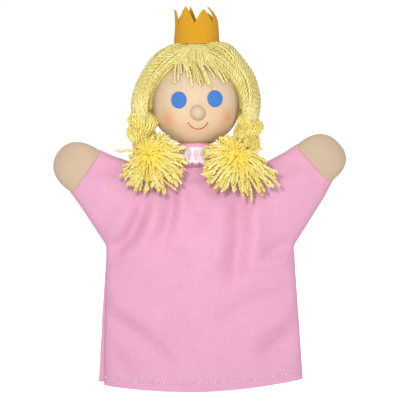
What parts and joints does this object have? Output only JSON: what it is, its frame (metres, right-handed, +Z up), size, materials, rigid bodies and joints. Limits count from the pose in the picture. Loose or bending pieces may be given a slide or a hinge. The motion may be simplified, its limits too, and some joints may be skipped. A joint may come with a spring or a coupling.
{
  "type": "glove puppet",
  "caption": "Cloth glove puppet of a princess: ball head with yarn braids and felt crown, plain dress with two arms and a hand opening at the hem.",
  "frame": {"origin": "middle of the hand opening at the dress's lowest hem point", "axes": "+Z up through the head, face towards -Y, +X to the right as seen from the front"},
  "size_m": [0.2116, 0.0804, 0.2808],
  "materials": {
    "pink_cotton": "plain-weave cotton, matt",
    "beige_felt": "short-pile felt, matt",
    "stockinette": "fine ribbed knit, matt, blush on both cheeks",
    "pressed_cotton": "pressed cotton fibre, matt",
    "cardboard": "wound grey-brown board, matt",
    "white_thread": "sewing thread",
    "white_lace": "cotton lace with a pink pattern",
    "pink_ribbon": "woven ribbon",
    "blue_felt": "pressed felt",
    "beech_wood": "turned and sanded, unpainted",
    "red_thread": "embroidery thread",
    "yellow_yarn": "soft twisted acrylic yarn",
    "amber_felt": "stiffened felt"
  },
  "bodies": {
    "dress": {"dress_front": "pink_cotton", "dress_back": "pink_cotton", "front_hem_stitch": "white_thread", "back_hem_stitch": "white_thread"},
    "neck": {"neck_gathers": "pink_cotton"},
    "collar": {"lace_collar": "white_lace", "collar_band": "pink_ribbon", "neck_binding": "white_thread"},
    "head": {"neck_tube": "cardboard", "head_core": "pressed_cotton", "head_cover": "stockinette", "left_eye": "blue_felt", "right_eye": "blue_felt", "nose": "beech_wood", "mouth": "red_thread", "left_hair": "yellow_yarn", "right_hair": "yellow_yarn", "fringe": "yellow_yarn", "hair_parting": "yellow_yarn", "crown": "amber_felt"},
    "left_shoulder": {"left_shoulder_front": "pink_cotton", "left_shoulder_back": "pink_cotton"},
    "left_arm": {"left_sleeve_front": "pink_cotton", "left_sleeve_back": "pink_cotton", "left_hand_front": "beige_felt", "left_hand_back": "beige_felt"},
    "left_braid_upper": {"left_braid_upper": "yellow_yarn"},
    "left_braid_lower": {"left_braid_lower": "yellow_yarn", "left_braid_tie": "yellow_yarn"},
    "left_tassel": {"left_tassel": "yellow_yarn"},
    "right_shoulder": {"right_shoulder_front": "pink_cotton", "right_shoulder_back": "pink_cotton"},
    "right_arm": {"right_sleeve_front": "pink_cotton", "right_sleeve_back": "pink_cotton", "right_hand_front": "beige_felt", "right_hand_back": "beige_felt"},
    "right_braid_upper": {"right_braid_upper": "yellow_yarn"},
    "right_braid_lower": {"right_braid_lower": "yellow_yarn", "right_braid_tie": "yellow_yarn"},
    "right_tassel": {"right_tassel": "yellow_yarn"}
  },
  "joints": [
    {"name": "head_nod", "type": "hinge", "parent": "dress", "child": "neck", "pos_m": [-0.003, 0, 0.17], "axis": [1, 0, 0], "range_deg": [-10, 15], "deforming": ["neck_gathers"]},
    {"name": "head_tilt", "type": "hinge", "parent": "neck", "child": "collar", "pos_m": [-0.003, 0, 0.17], "axis": [0, 1, 0], "range_deg": [-10, 10]},
    {"name": "head_turn", "type": "hinge", "parent": "collar", "child": "head", "pos_m": [-0.003, 0, 0.17], "axis": [0, 0, 1], "range_deg": [-20, 20]},
    {"name": "left_arm_raise", "type": "hinge", "parent": "dress", "child": "left_shoulder", "pos_m": [-0.0585, 0, 0.144], "axis": [0, 1, 0], "range_deg": [-30, 15], "deforming": ["left_shoulder_front", "left_shoulder_back"]},
    {"name": "left_arm_clap", "type": "hinge", "parent": "left_shoulder", "child": "left_arm", "pos_m": [-0.06596, 0, 0.14903], "axis": [0.5592, 0, 0.829], "range_deg": [-15, 60], "deforming": ["left_sleeve_front", "left_sleeve_back"]},
    {"name": "left_braid_swing", "type": "hinge", "parent": "head", "child": "left_braid_upper", "pos_m": [-0.0445, -0.006, 0.2028], "axis": [1, 0, 0], "range_deg": [-17, 17]},
    {"name": "left_braid_bend", "type": "hinge", "parent": "left_braid_upper", "child": "left_braid_lower", "pos_m": [-0.0432, -0.009, 0.1882], "axis": [1, 0, 0], "range_deg": [-13, 9]},
    {"name": "left_tassel_turn", "type": "hinge", "parent": "left_braid_lower", "child": "left_tassel", "pos_m": [-0.04, -0.0095, 0.1766], "axis": [0, 0, 1], "range_deg": [-21, 21]},
    {"name": "right_arm_raise", "type": "hinge", "parent": "dress", "child": "right_shoulder", "pos_m": [0.0585, 0, 0.144], "axis": [0, -1, 0], "range_deg": [-30, 15], "deforming": ["right_shoulder_front", "right_shoulder_back"]},
    {"name": "right_arm_clap", "type": "hinge", "parent": "right_shoulder", "child": "right_arm", "pos_m": [0.06513, 0, 0.15008], "axis": [0.6756, 0, -0.7373], "range_deg": [-15, 60], "deforming": ["right_sleeve_front", "right_sleeve_back"]},
    {"name": "right_braid_swing", "type": "hinge", "parent": "head", "child": "right_braid_upper", "pos_m": [0.0375, -0.006, 0.2008], "axis": [1, 0, 0], "range_deg": [-17, 17]},
    {"name": "right_braid_bend", "type": "hinge", "parent": "right_braid_upper", "child": "right_braid_lower", "pos_m": [0.0364, -0.009, 0.186], "axis": [1, 0, 0], "range_deg": [-13, 9]},
    {"name": "right_tassel_turn", "type": "hinge", "parent": "right_braid_lower", "child": "right_tassel", "pos_m": [0.0335, -0.0095, 0.175], "axis": [0, 0, 1], "range_deg": [-21, 21]}
  ],
  "couplings": [
    {"joint": "left_braid_swing", "follows": "head_turn", "ratio": 0.8},
    {"joint": "left_braid_bend", "follows": "head_nod", "ratio": -0.8},
    {"joint": "left_tassel_turn", "follows": "head_turn", "ratio": -1},
    {"joint": "right_braid_swing", "follows": "head_turn", "ratio": -0.8},
    {"joint": "right_braid_bend", "follows": "head_nod", "ratio": -0.8},
    {"joint": "right_tassel_turn", "follows": "head_turn", "ratio": -1}
  ]
}
